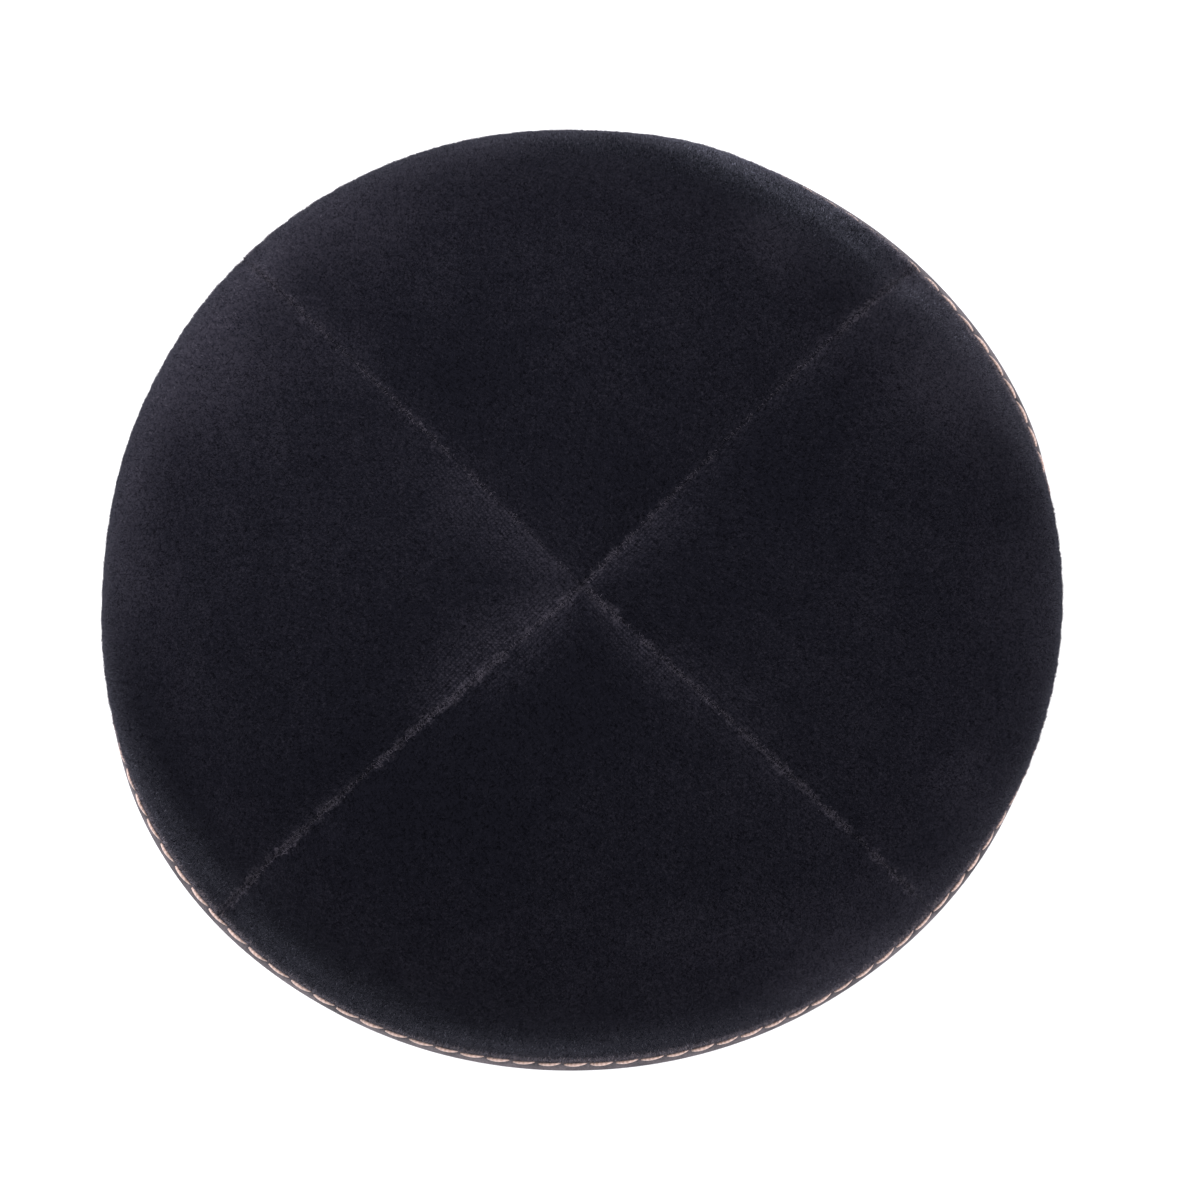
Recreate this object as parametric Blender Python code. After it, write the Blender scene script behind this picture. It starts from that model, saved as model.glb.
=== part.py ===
"""Four-panel velvet skullcap: four sewn gores standing on a bound rim, hollow underneath.

The cap is built about the upright line through the crown, where the four seams meet. +Z is up, -Y is
the front and +X is the right-hand side. The finished pieces are then moved together, so that the origin
lies in the plane of the rim, below the middle of the cap's outline. Lengths are in metres.
"""

import math

import bmesh
import bpy
from mathutils import Matrix, Vector

# The cap and its cloth.
RIM_RADIUS = 0.085
CROWN_HEIGHT = 0.050
CLOTH = 0.0020
SEAM_GAP = 0.0003

# Rim binding: a folded strip whose two legs hold the lower edge of the panels.
BINDING_CLOTH = 0.0007
BINDING_OUTER_LEG = 0.0027
BINDING_INNER_LEG = 0.0045
BINDING_ROUNDING = 0.0003
FIT_GAP = 0.0003

# Sewn form: each panel is puffed between its seams, the cloth dips where it turns into a seam, and the
# crown is drawn up a little. The wall spreads or tucks in over its lowest stretch.
PANEL_PUFF = 0.0016
SEAM_DIP = 0.0009
SEAM_WIDTH = 0.0032
CROWN_PEAK = 0.0014
CROWN_PEAK_RADIUS = 0.016
SPREAD_HEIGHT = 0.014
FREE_RISE = 0.008

# The share of its pinch that the cloth has taken where it starts to turn in above the binding, and the
# share of RIM_RADIUS over which the panels' tips are eased apart at the crown.
PINCH_START = 1 / 3
TIP_REACH = 0.5

# Mesh steps. Columns lie closer together beside the seams, where the cloth bends most.
PANEL_COLUMNS = 24
DOME_ROWS = 18
COLUMN_CROWDING = 0.45
BINDING_STEPS = 96
QUARTER_TURN = math.pi / 2
SHARP_ANGLE = math.radians(40)
MERGE_DISTANCE = 0.00001

# Finishes: black velvet with a soft sheen, and the same cloth pressed flat for the binding.
VELVET_COLOUR = (0.0093, 0.0090, 0.0125)
VELVET_SHEEN = 0.5
BINDING_COLOUR = (0.0116, 0.0103, 0.0130)
BINDING_SHEEN = 0.3
CLOTH_ROUGHNESS = 0.95

# The seams, as azimuths in degrees about the crown, anticlockwise from +X.
SEAMS = {
    "right_back": 46,
    "back_left": 135,
    "left_front": 220,
    "front_right": 318,
}

# Each panel with the two seams that bound it, anticlockwise.
PANELS = {
    "panel_right": ("front_right", "right_back"),
    "panel_back": ("right_back", "back_left"),
    "panel_left": ("back_left", "left_front"),
    "panel_front": ("left_front", "front_right"),
}

# The cap's outline. dome is the half width of the dome and spread is how far the foot of the wall stands
# outside it, or inside it where it is less than 0. Both are shares of RIM_RADIUS.
OUTLINE = (
    # azimuth, dome, spread
    (10, 0.997, -0.014),
    (21, 0.983, 0.018),
    (42, 0.967, 0.031),
    (60, 0.969, 0.025),
    (68, 0.980, 0.015),
    (76, 0.996, -0.004),
    (88, 0.999, -0.012),
    (112, 1.023, -0.012),
    (135, 1.036, -0.012),
    (160, 1.032, -0.012),
    (176, 1.024, -0.012),
    (190, 1.028, -0.010),
    (203, 1.011, 0.023),
    (218, 0.993, 0.034),
    (240, 0.971, 0.026),
    (270, 0.934, 0.034),
    (300, 0.941, 0.021),
    (328, 0.955, 0.018),
    (340, 0.983, -0.012),
)

# Soft dents, and one low swelling, in the cloth. radius and width are shares of RIM_RADIUS and depth is
# a share of CLOTH.
DENTS = (
    # azimuth, radius, width, depth
    (202, 0.80, 0.10, 0.35),
    (118, 0.62, 0.16, 0.30),
    (283, 0.70, 0.14, 0.30),
    (20, 0.74, 0.15, -0.25),
)


def smooth_step(value, low, high):
    """0 up to low and 1 from high on, with a smooth rise between them."""
    share = min(max((value - low) / (high - low), 0.0), 1.0)
    return share * share * (3 - 2 * share)


def turned(first, second):
    """The angle in degrees from second to first, between -180 and 180."""
    return (first - second + 180) % 360 - 180


def smooth_between(places, values):
    """The value at place 0 of a smooth curve through four points whose middle two lie either side of 0."""
    step = places[2] - places[1]
    slope_before = (values[2] - values[0]) / (places[2] - places[0]) * step
    slope_after = (values[3] - values[1]) / (places[3] - places[1]) * step
    t = -places[1] / step
    rise = t * t * (3 - 2 * t)
    return (
        values[1] * (1 - rise)
        + values[2] * rise
        + slope_before * t * (1 - t) ** 2
        - slope_after * t * t * (1 - t)
    )


def outline_at(azimuth):
    """dome and spread at an azimuth, in metres, on a smooth closed curve through the rows of OUTLINE."""
    azimuth %= 360
    after = next((i for i, row in enumerate(OUTLINE) if row[0] > azimuth), 0)
    rows = [OUTLINE[(after + step) % len(OUTLINE)] for step in (-2, -1, 0, 1)]
    places = [turned(row[0], azimuth) for row in rows]
    return [RIM_RADIUS * smooth_between(places, [row[i] for row in rows]) for i in (1, 2)]


def dent_depth(azimuth, radius):
    """How far the dents push the cloth in at a place on the dome."""
    depth = 0
    for dent_azimuth, dent_radius, width, share in DENTS:
        sideways = math.radians(turned(azimuth, dent_azimuth)) * radius
        outwards = radius - dent_radius * RIM_RADIUS
        distance = math.hypot(sideways, outwards) / (width * RIM_RADIUS)
        depth += share * CLOTH * math.exp(-(distance**2))
    return depth


class Section:
    """The wall's plain line in the upright plane at one azimuth, from the crown down to the rim."""

    def __init__(self, azimuth):
        self.azimuth = azimuth
        self.dome, self.spread = outline_at(azimuth)

    def radius(self, height):
        low = max(1 - height / SPREAD_HEIGHT, 0)
        return self.dome * math.sqrt(max(1 - (height / CROWN_HEIGHT) ** 2, 0)) + self.spread * low**2

    def outward(self, height):
        """The direction out of the cloth, as (radial, up). It lies level where the binding holds it."""
        radial = math.sqrt(max(1 - (height / CROWN_HEIGHT) ** 2, 0))
        up = height / CROWN_HEIGHT * self.dome / CROWN_HEIGHT * smooth_step(height, 0, FREE_RISE)
        length = math.hypot(radial, up)
        return radial / length, up / length

    def swell(self, height, across, seam_distance):
        """How far the cloth stands out from the plain line. across goes from 0 to 1 between the seams."""
        radius = self.radius(height)
        along = math.acos(min(height / CROWN_HEIGHT, 1)) / QUARTER_TURN
        puff = PANEL_PUFF * math.sin(math.pi * across) ** 2 * math.sin(math.pi * along)
        dip = SEAM_DIP * math.exp(-((seam_distance / SEAM_WIDTH) ** 2))
        peak = CROWN_PEAK * math.exp(-((radius / CROWN_PEAK_RADIUS) ** 2))
        held = max(BINDING_OUTER_LEG, BINDING_INNER_LEG)
        free = smooth_step(height, held, held + FREE_RISE)
        return peak + free * (puff - dip - dent_depth(self.azimuth, radius))

    def point(self, height, outset):
        """The point at this height on the plain line, moved out of the cloth by outset."""
        radial, up = self.outward(height)
        radius = self.radius(height) + outset * radial
        return radius, height + outset * up


def panel_rows():
    """The rows of a panel from the crown down, as (height, inset of the outer face).

    The dome's rows are evenly spaced by angle. The last rows pinch the cloth, so that its edge fits
    between the legs of the binding, and belly it out above them.
    """
    pinch = BINDING_CLOTH + FIT_GAP
    leg_top = BINDING_OUTER_LEG + FIT_GAP
    belly = leg_top + pinch
    last = math.acos(belly / CROWN_HEIGHT)
    rows = [(CROWN_HEIGHT * math.cos(last * row / DOME_ROWS), 0) for row in range(DOME_ROWS + 1)]
    rows.append((leg_top + pinch * PINCH_START, pinch * PINCH_START))
    rows.append((leg_top, pinch))
    rows.append((pinch, pinch))
    return rows


def crowded(share):
    """Moves evenly spaced shares closer together near 0 and 1."""
    return share - COLUMN_CROWDING * math.sin(2 * math.pi * share) / (2 * math.pi)


def wedge_blank(row_count):
    """A flat quarter disc of unit thickness, with a ring of vertices at each whole radius.

    It is a strip along X, from the centre out, spun a quarter turn about Z.
    """
    bm = bmesh.new()
    bmesh.ops.create_grid(bm, x_segments=row_count - 1, y_segments=1, size=0.5)
    bmesh.ops.rotate(bm, verts=bm.verts[:], matrix=Matrix.Rotation(QUARTER_TURN, 3, "X"))
    bmesh.ops.translate(bm, verts=bm.verts[:], vec=(0.5, 0, 0.5))
    bmesh.ops.scale(bm, verts=bm.verts[:], vec=(row_count - 1, 1, 1))
    strip = bm.verts[:] + bm.edges[:] + bm.faces[:]
    bmesh.ops.spin(
        bm, geom=strip, cent=(0, 0, 0), axis=(0, 0, 1), angle=QUARTER_TURN, steps=PANEL_COLUMNS
    )
    return bm


def drape_panel(bm, first_seam, last_seam):
    """Moves the vertices of a wedge blank onto the cap between two seams."""
    rows = panel_rows()
    width = turned(last_seam, first_seam) % 360
    middle = first_seam + width / 2
    crown_shift = SEAM_GAP / 2 / math.sin(math.radians(width / 2))
    sections = {}
    for vertex in bm.verts:
        row = round(math.hypot(vertex.co.x, vertex.co.y))
        column = round(math.atan2(vertex.co.y, vertex.co.x) / QUARTER_TURN * PANEL_COLUMNS)
        if row == 0:
            column = PANEL_COLUMNS // 2
        across = crowded(column / PANEL_COLUMNS)
        azimuth = first_seam + across * width
        section = sections.setdefault(column, Section(azimuth))
        height, inset = rows[row]
        seam_distance = math.radians(min(across, 1 - across) * width) * section.radius(height)
        outset = section.swell(height, across, seam_distance)
        outset -= inset if vertex.co.z > 0.5 else CLOTH
        radius, z = section.point(height, outset)
        # The seam gap is opened sideways, and at the crown by moving the tip along the panel's middle.
        off_middle = math.radians(turned(middle, azimuth))
        at_crown = 1 - smooth_step(radius, 0, TIP_REACH * RIM_RADIUS)
        radius += crown_shift * math.cos(off_middle) * at_crown
        sideways = crown_shift * math.sin(off_middle)
        angle = math.radians(azimuth)
        outward = Vector((math.cos(angle), math.sin(angle), 0))
        along = Vector((-math.sin(angle), math.cos(angle), 0))
        vertex.co = outward * radius + along * sideways + Vector((0, 0, z))


def make_panel(name, seams, collection, material):
    bm = wedge_blank(len(panel_rows()))
    drape_panel(bm, SEAMS[seams[0]], SEAMS[seams[1]])
    bmesh.ops.remove_doubles(bm, verts=bm.verts[:], dist=MERGE_DISTANCE)
    return finish(name, bm, collection, material)


def binding_outline():
    """The binding's folded section as (outset from the wall's plain line, height), from the outer foot."""
    channel_outer = -BINDING_CLOTH
    channel_inner = -(CLOTH + FIT_GAP)
    inner = channel_inner - BINDING_CLOTH
    return [
        (0, 0),
        (0, BINDING_OUTER_LEG),
        (channel_outer, BINDING_OUTER_LEG),
        (channel_outer, BINDING_CLOTH),
        (channel_inner, BINDING_CLOTH),
        (channel_inner, BINDING_INNER_LEG),
        (inner, BINDING_INNER_LEG),
        (inner, 0),
    ]


def make_binding(name, collection, material):
    """The section, with its free corners rounded, is spun into a ring that then follows the wall."""
    bm = bmesh.new()
    corners = [bm.verts.new((RIM_RADIUS + outset, 0, height)) for outset, height in binding_outline()]
    face = bm.faces.new(corners)
    in_channel = corners[3:5]
    bmesh.ops.bevel(
        bm,
        geom=[corner for corner in corners if corner not in in_channel],
        offset=BINDING_ROUNDING,
        segments=1,
        profile=0.5,
        affect="VERTICES",
        material=-1,
    )
    bmesh.ops.delete(bm, geom=bm.faces[:], context="FACES_ONLY")
    bmesh.ops.spin(
        bm,
        geom=bm.verts[:] + bm.edges[:],
        cent=(0, 0, 0),
        axis=(0, 0, 1),
        angle=2 * math.pi,
        steps=BINDING_STEPS,
        use_merge=True,
    )
    for vertex in bm.verts:
        outset = math.hypot(vertex.co.x, vertex.co.y) - RIM_RADIUS
        angle = math.atan2(vertex.co.y, vertex.co.x)
        radius = Section(math.degrees(angle)).radius(vertex.co.z) + outset
        vertex.co.x = radius * math.cos(angle)
        vertex.co.y = radius * math.sin(angle)
    return finish(name, bm, collection, material)


def finish(name, bm, collection, material):
    """Turns the faces outwards, shades the piece smooth and links it into the collection."""
    bmesh.ops.recalc_face_normals(bm, faces=bm.faces[:])
    mesh = bpy.data.meshes.new(name)
    bm.to_mesh(mesh)
    bm.free()
    mesh.materials.append(material)
    mesh.shade_smooth()
    mesh.set_sharp_from_angle(angle=SHARP_ANGLE)
    piece = bpy.data.objects.new(name, mesh)
    collection.objects.link(piece)
    return piece


def cloth_material(name, colour, sheen):
    material = bpy.data.materials.new(name)
    material.use_nodes = True
    surface = material.node_tree.nodes["Principled BSDF"]
    surface.inputs["Base Color"].default_value = (*colour, 1)
    surface.inputs["Metallic"].default_value = 0
    surface.inputs["Roughness"].default_value = CLOTH_ROUGHNESS
    surface.inputs["Sheen Weight"].default_value = sheen
    return material


def centre_on_outline(pieces):
    """Moves the pieces' meshes together, so that the origin lies below the middle of the outline."""
    points = [vertex.co for piece in pieces for vertex in piece.data.vertices]
    middle = [(min(p[i] for p in points) + max(p[i] for p in points)) / 2 for i in (0, 1)]
    for piece in pieces:
        piece.data.transform(Matrix.Translation((-middle[0], -middle[1], 0)))


def clear_scene():
    for obj in list(bpy.data.objects):
        bpy.data.objects.remove(obj)


def main():
    clear_scene()
    collection = bpy.data.collections.new("skullcap")
    bpy.context.scene.collection.children.link(collection)
    velvet = cloth_material("black velvet", VELVET_COLOUR, VELVET_SHEEN)
    binding_cloth = cloth_material("black velvet edging", BINDING_COLOUR, BINDING_SHEEN)
    pieces = [make_panel(name, seams, collection, velvet) for name, seams in PANELS.items()]
    pieces.append(make_binding("rim_binding", collection, binding_cloth))
    centre_on_outline(pieces)


main()
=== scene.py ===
"""Looks of a four-panel velvet skullcap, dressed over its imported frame.

Every piece lies in metres in the frame's own axes: +Z up through the crown, -Y to the front panel and
+X to the right panel.
"""

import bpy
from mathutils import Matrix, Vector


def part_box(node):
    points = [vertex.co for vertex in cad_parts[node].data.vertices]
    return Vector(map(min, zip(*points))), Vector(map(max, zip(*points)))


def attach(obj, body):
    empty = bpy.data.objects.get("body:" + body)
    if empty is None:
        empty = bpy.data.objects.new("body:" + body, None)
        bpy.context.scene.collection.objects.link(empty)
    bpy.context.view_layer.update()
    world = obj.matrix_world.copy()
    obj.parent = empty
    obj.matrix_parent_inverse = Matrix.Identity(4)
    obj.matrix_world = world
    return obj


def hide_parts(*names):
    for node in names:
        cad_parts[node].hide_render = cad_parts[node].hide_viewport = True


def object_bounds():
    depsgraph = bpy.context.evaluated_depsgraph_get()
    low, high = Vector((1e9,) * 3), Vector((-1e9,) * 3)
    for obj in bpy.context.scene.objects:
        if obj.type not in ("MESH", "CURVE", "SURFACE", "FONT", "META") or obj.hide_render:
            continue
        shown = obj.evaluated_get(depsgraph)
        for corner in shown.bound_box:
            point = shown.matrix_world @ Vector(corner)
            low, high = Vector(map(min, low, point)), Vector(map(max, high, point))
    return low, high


bl_info = {
    "name": "Velvet Skullcap",
    "version": (1, 0, 0),
    "blender": (4, 5, 0),
    "location": "View3D > Sidebar > Skullcap",
    "description": "Dresses a four-panel skullcap in velvet with a bound and topstitched rim",
    "category": "Object",
}

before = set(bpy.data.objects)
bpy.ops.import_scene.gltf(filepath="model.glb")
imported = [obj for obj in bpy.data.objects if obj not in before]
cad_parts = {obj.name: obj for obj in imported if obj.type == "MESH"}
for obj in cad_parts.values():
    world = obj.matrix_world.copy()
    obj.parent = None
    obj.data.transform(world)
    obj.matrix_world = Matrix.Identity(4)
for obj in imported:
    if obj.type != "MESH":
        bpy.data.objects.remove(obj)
CAD_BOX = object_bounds()

import math

import bmesh
import bpy
import numpy as np
from bpy.props import FloatProperty, FloatVectorProperty, IntProperty, PointerProperty
from mathutils import Matrix, Vector, noise

MM = 0.001

# The panels anticlockwise seen from above, and the seam that ends each one.
PANELS = ("panel_right", "panel_back", "panel_left", "panel_front")
SEAMS = ("right_back", "back_left", "left_front", "front_right")
BINDING = "rim_binding"

# Copies of CAD pieces: how close merged corners are, and the widest angle between paired triangles.
MERGE_DISTANCE = 0.01 * MM
PAIRING_ANGLE = math.radians(70)
SUBDIVISIONS = 2

# Cloth within SEAM_REACH of a seam is its side wall. The walls of two panels are moved up to leave
# SEAM_SLIT between them, and their edges sharper than SHARP_EDGE are creased.
SEAM_REACH = 0.3 * MM
SEAM_SLIT = 0.02 * MM
SEAM_CREASE = 0.82
SHARP_EDGE = math.radians(50)

# Heights above the plane of the rim. Above FREE_HEIGHT the binding no longer holds the cloth. The pile is
# pressed flat up to PRESSED_FROM and rises again over PRESSED_FADE, and the pale tone of that band is partly
# a painted highlight along the outline.
STITCH_HEIGHT = 2.6 * MM
PILE_FROM = 3.2 * MM
PRESSED_FROM = 4.1 * MM
PRESSED_FADE = 1.0 * MM
FREE_HEIGHT = 5.0 * MM
WHOLLY_FREE = FREE_HEIGHT + 7 * MM

# Stretches of height over which the swelling of the cloth and the dimples at the needle holes come and go.
SWOLLEN_HEIGHTS = ((2.9 * MM, 3.6 * MM), (5 * MM, 15 * MM))
DIMPLED_HEIGHTS = ((2.9 * MM, 3.3 * MM), (4.0 * MM, 8.5 * MM))

# Lumps of the cloth, and the puckers beside a seam: where they start and end, and their spacing.
BROAD_LUMPS = 17 * MM
SMALL_LUMPS = 8 * MM
PUCKER_START = 0.8 * MM
PUCKER_REACH = 4 * MM
PUCKER_SPACING = 3.4 * MM

# The binding stands out of its solid by EDGING_SWELL. The edge of its outer leg lies about OUTER_LEG above
# the cloth's lower edge, and is looked for within LEG_BAND of that.
EDGING_SWELL = 0.40 * MM
OUTER_LEG = 2.0 * MM
LEG_BAND = 1.2 * MM

# A stitch: how deep it lies in the binding, how far one end turns in and the other out, how far its middle
# rises, and how much of the pitch the thread fills, more or less.
STITCH_INSET = 0.22 * MM
STITCH_SLANT = 0.09 * MM
STITCH_RISE = 0.25 * MM
STITCH_FILLS = (0.91, 0.05)

# The pile: its sheen, what share of the way its fibres are drawn to the middle of their tuft and how much
# more where the pile is open, how far their lean and shading vary and between which shares their length
# and width do, a tip's width beside its root's, and how deep a root is.
PILE_SHEEN = 0.19
PILE_SHEEN_ROUGHNESS = 0.28
PILE_SHEEN_TINT = "#C8C8DC"
TUFT_DRAW = 0.35
TUFT_DRAW_OPEN = 0.25
LEAN_VARIES = 0.12
SHADING_VARIES = 0.16
LENGTH_VARIES = (0.6, 1.2)
WIDTH_VARIES = (0.7, 1.3)
TIP_WIDTH = 0.4
ROOT_DEPTH = 0.02 * MM

# The kinds of fibre: how far they lean from upright and spread from side to side in radians, their length
# and width as shares of a pile fibre's, and the seed of the first panel's draws.
FIBRE_KINDS = {
    # lean, spread, length, width, seed
    "pile": (1.25, 0.7, 1.0, 1.0, 20),
    "fuzz": (1.1, 0.7, 1.0, 0.8, 40),
    "rim_fuzz": (1.2, 0.5, 1.4, 0.9, 60),
}

# Where the fuzz lies: how far from a seam, and at what height.
SEAM_FUZZ_WIDTH = 0.5 * MM
RIM_FUZZ_HEIGHT = 5.0 * MM
RIM_FUZZ_BAND = 0.9 * MM

# Real sizes that the patterns follow.
MOTTLE_SIZE = 9 * MM
SEAM_BREAKS = 1.8 * MM
GROUND_PITCH = 0.45 * MM
EDGING_FIBRE = 0.35 * MM
EDGING_WEAR = 5 * MM
PLY_PITCH = 0.4 * MM
LINT_SIZE = 0.5 * MM

# Numbers of the sockets of a colour mix, whose names stand for several kinds of value.
MIX_A = 6
MIX_B = 7
MIX_OUT = 2

# The camera: its lean from upright and the bearing it leans to, where it aims beside the foot of the
# crown's axis, and how many of the photo's pixels a metre takes at the rim.
CAMERA_LEAN = math.radians(4)
CAMERA_BEARING = math.radians(285)
CAMERA_AIM = (1.926 * MM, 1.064 * MM)
PIXELS_PER_METRE = 5610
PHOTO_WIDTH = 1200

# Where the pile has been opened by sewing and handling, so that it looks paler. Each row is one side of
# a seam, -1 clockwise and 1 anticlockwise, with distances from the crown and widths in millimetres.
OPENED_PILE = (
    # seam, side, start, end, width, strength
    ("back_left", 1, 4, 36, 8.0, 0.42),
    ("back_left", 1, 34, 90, 4.0, 0.18),
    ("back_left", -1, 24, 90, 3.0, 0.15),
    ("right_back", -1, 2, 26, 5.5, 0.45),
    ("right_back", -1, 22, 90, 3.0, 0.18),
    ("right_back", 1, 30, 90, 2.5, 0.12),
    ("left_front", -1, 2, 36, 6.5, 0.70),
    ("left_front", -1, 34, 80, 2.5, 0.20),
    ("left_front", 1, 4, 26, 7.0, 0.40),
    ("front_right", -1, 2, 28, 5.0, 0.52),
    ("front_right", 1, 16, 42, 6.0, 0.24),
    ("front_right", -1, 24, 60, 3.0, 0.20),
    ("front_right", -1, 70, 95, 3.5, 0.25),
    ("front_right", 1, 70, 95, 3.5, 0.30),
    ("right_back", -1, 68, 95, 5.0, 0.35),
    ("right_back", 1, 74, 95, 3.0, 0.30),
    ("left_front", 1, 72, 95, 3.0, 0.15),
)

# How crushed and fuzzy the line of each seam is, at these distances from the crown in millimetres.
SEAM_STATIONS = (5, 20, 40, 60, 78)
SEAM_WEAR = {
    "right_back": (0.50, 0.35, 0.15, 0.40, 2.80),
    "back_left": (0.10, 0.35, 0.33, 0.20, 1.10),
    "left_front": (0.80, 1.40, 0.70, 0.80, 4.60),
    "front_right": (1.10, 0.50, 0.80, 1.00, 1.60),
}

# The rim by azimuth in degrees: how pale the pressed pile above the stitches is, partly a painted highlight
# along the outline; the tone of the pile above that, painted sheen where it is above 0 and painted shade
# where it is below 0; and how far the cloth swells over the stitches in millimetres. The tone lies in a band,
# whose radius and width are shares of the cap's half width.
RIM_FINISH = (
    # azimuth, wear, tone, swell
    (0, 1.0, 0.15, 0.23),
    (15, 1.0, 0.3, 0.10),
    (28, 1.1, 0.5, 0.0),
    (36, 0.9, 0.6, 0.12),
    (44, 0.6, 1.2, 0.36),
    (50, 0.3, 0.2, 0.62),
    (58, 0.1, -2.8, 0.55),
    (66, 0.05, -3.6, 0.62),
    (78, 0.05, -2.2, 0.60),
    (92, 0.15, -0.4, 0.45),
    (104, 0.45, 1.2, 0.27),
    (118, 0.5, 0.1, 0.13),
    (132, 0.9, 1.7, 0.06),
    (149, 0.8, 0.1, 0.0),
    (165, 0.9, 1.5, 0.05),
    (180, 0.7, -0.1, 0.13),
    (190, 0.6, -0.2, 0.15),
    (197, 0.6, -1.2, 0.20),
    (205, 0.7, -2.6, 0.02),
    (220, 0.7, -1.4, 0.07),
    (235, 0.6, -2.9, 0.10),
    (258, 0.7, -2.6, 0.11),
    (276, 0.9, -1.4, 0.12),
    (292, 0.9, 0.2, 0.12),
    (309, 0.8, 1.2, 0.08),
    (324, 0.9, 0.2, 0.02),
    (333, 0.8, 0.0, 0.13),
    (348, 0.9, 0.3, 0.15),
)
RIM_SHEEN_BAND = (0.97, 0.06)

# Broad tones of the pile, partly where it was brushed one way or the other and partly painted sheen and
# painted shade, most of all the patches near the rim, which paint the light on the upper left side and dim
# the sheen on other sides. tone is above 0 where it looks paler. radius and width are shares of the cap's
# half width.
NAP_AND_SHEEN_PATCHES = (
    # azimuth, radius, width, tone
    (190, 0.08, 0.09, 0.5),
    (31, 0.87, 0.14, 1.25),
    (148, 0.95, 0.18, 1.7),
    (120, 0.92, 0.14, 1.0),
    (178, 0.97, 0.13, 0.9),
    (62, 0.84, 0.09, 0.8),
    (305, 0.90, 0.13, 0.9),
    (0, 0.93, 0.14, 0.5),
    (333, 0.87, 0.10, 0.5),
    (215, 0.55, 0.25, -0.4),
    (240, 0.52, 0.20, -0.5),
    (30, 0.48, 0.16, -0.5),
    (120, 0.50, 0.14, -0.6),
    (285, 0.74, 0.10, 0.35),
    (196, 0.80, 0.06, 0.3),
    (88, 0.22, 0.20, -0.3),
    (262, 0.20, 0.20, -0.6),
    (0, 0.25, 0.16, -0.3),
)


def linear(hex_colour):
    """An sRGB colour such as #1B1A20 as linear red, green and blue."""
    shares = [int(hex_colour[i : i + 2], 16) / 255 for i in (1, 3, 5)]
    return tuple(s / 12.92 if s <= 0.04045 else ((s + 0.055) / 1.055) ** 2.4 for s in shares)


class ClothSettings(bpy.types.PropertyGroup):
    """Velvet, its reverse and the edging."""

    pile_colour: FloatVectorProperty(
        name="Pile", description="Velvet seen into the pile", subtype="COLOR", default=linear("#0D0D12")
    )
    opened_colour: FloatVectorProperty(
        name="Opened pile", description="Velvet whose pile is pressed open, so that its fibres' sides show",
        subtype="COLOR", default=linear("#2C2A31")
    )
    crushed_colour: FloatVectorProperty(
        name="Crushed pile", description="Bent and broken fibres along the seams and above the stitches",
        subtype="COLOR", default=linear("#3A373E")
    )
    reverse_colour: FloatVectorProperty(
        name="Reverse", description="Woven back of the velvet", subtype="COLOR", default=linear("#1A191D")
    )
    # The edging's pale grey is partly its pressed pile and partly painted sheen, for the light that an
    # edge-on strip catches.
    edging_and_sheen_colour: FloatVectorProperty(
        name="Edging", description="Velvet strip pressed flat", subtype="COLOR", default=linear("#5C5559")
    )
    tuft_size: FloatProperty(
        name="Tuft size", description="Width of one tuft of pile in mm", default=0.36, min=0.1, max=2
    )
    rib_pitch: FloatProperty(
        name="Rib pitch", description="Spacing of the rows of tufts in mm", default=0.62, min=0.2, max=3
    )
    undulation: FloatProperty(
        name="Undulation", description="Height of the soft unevenness", unit="LENGTH", default=0.16 * MM
    )
    seam_pucker: FloatProperty(
        name="Seam pucker", description="Height of the puckers at a seam", unit="LENGTH", default=0.12 * MM
    )
    rim_pucker: FloatProperty(
        name="Rim pucker", description="Depth of a dimple at a needle hole", unit="LENGTH", default=0.10 * MM
    )


class PileSettings(bpy.types.PropertyGroup):
    """Fibres of the pile and of the fuzz along the seams."""

    fibres_per_panel: IntProperty(
        name="Fibres", description="Number of pile fibres on one panel", default=66000, min=0, max=90000
    )
    fuzz_per_panel: IntProperty(
        name="Seam fuzz", description="Number of loose fibres along one panel's seams", default=5000, min=0
    )
    fibre_length: FloatProperty(
        name="Fibre length", description="Length of a pile fibre", unit="LENGTH", default=0.6 * MM
    )
    fibre_width: FloatProperty(
        name="Fibre width", description="Width of a pile fibre", unit="LENGTH", default=0.09 * MM
    )


class StitchSettings(bpy.types.PropertyGroup):
    """Topstitches round the rim."""

    thread_colour: FloatVectorProperty(
        name="Thread", description="Copper topstitching thread", subtype="COLOR", default=linear("#C1A69C")
    )
    pitch: FloatProperty(
        name="Stitch pitch", description="From needle hole to needle hole", unit="LENGTH", default=4.7 * MM
    )
    thread_width: FloatProperty(
        name="Thread width", description="Thickness of the thread", unit="LENGTH", default=0.60 * MM
    )
    bulge: FloatProperty(
        name="Bulge", description="How far a stitch bows outwards", unit="LENGTH", default=0.17 * MM
    )


class StudioSettings(bpy.types.PropertyGroup):
    """Floor, light and camera."""

    floor_colour: FloatVectorProperty(
        name="Floor", description="White table", subtype="COLOR", default=linear("#F4F4F4")
    )
    fill_light: FloatProperty(name="Fill light", description="Even light from all round", default=1.05, min=0)
    key_light: FloatProperty(
        name="Key light", description="Soft box on the upper left", unit="POWER", default=40.0, min=0
    )
    side_light: FloatProperty(
        name="Side light", description="Soft box on the right", unit="POWER", default=21.0, min=0
    )
    camera_distance: FloatProperty(
        name="Camera distance", description="From the lens to the rim", unit="LENGTH", default=0.8
    )


def axis_of_crown():
    """The upright line through the crown, where the four panels meet, as (x, y)."""
    x = (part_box("panel_left")[1].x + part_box("panel_right")[0].x) / 2
    y = (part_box("panel_front")[1].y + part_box("panel_back")[0].y) / 2
    return np.array((x, y))


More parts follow.
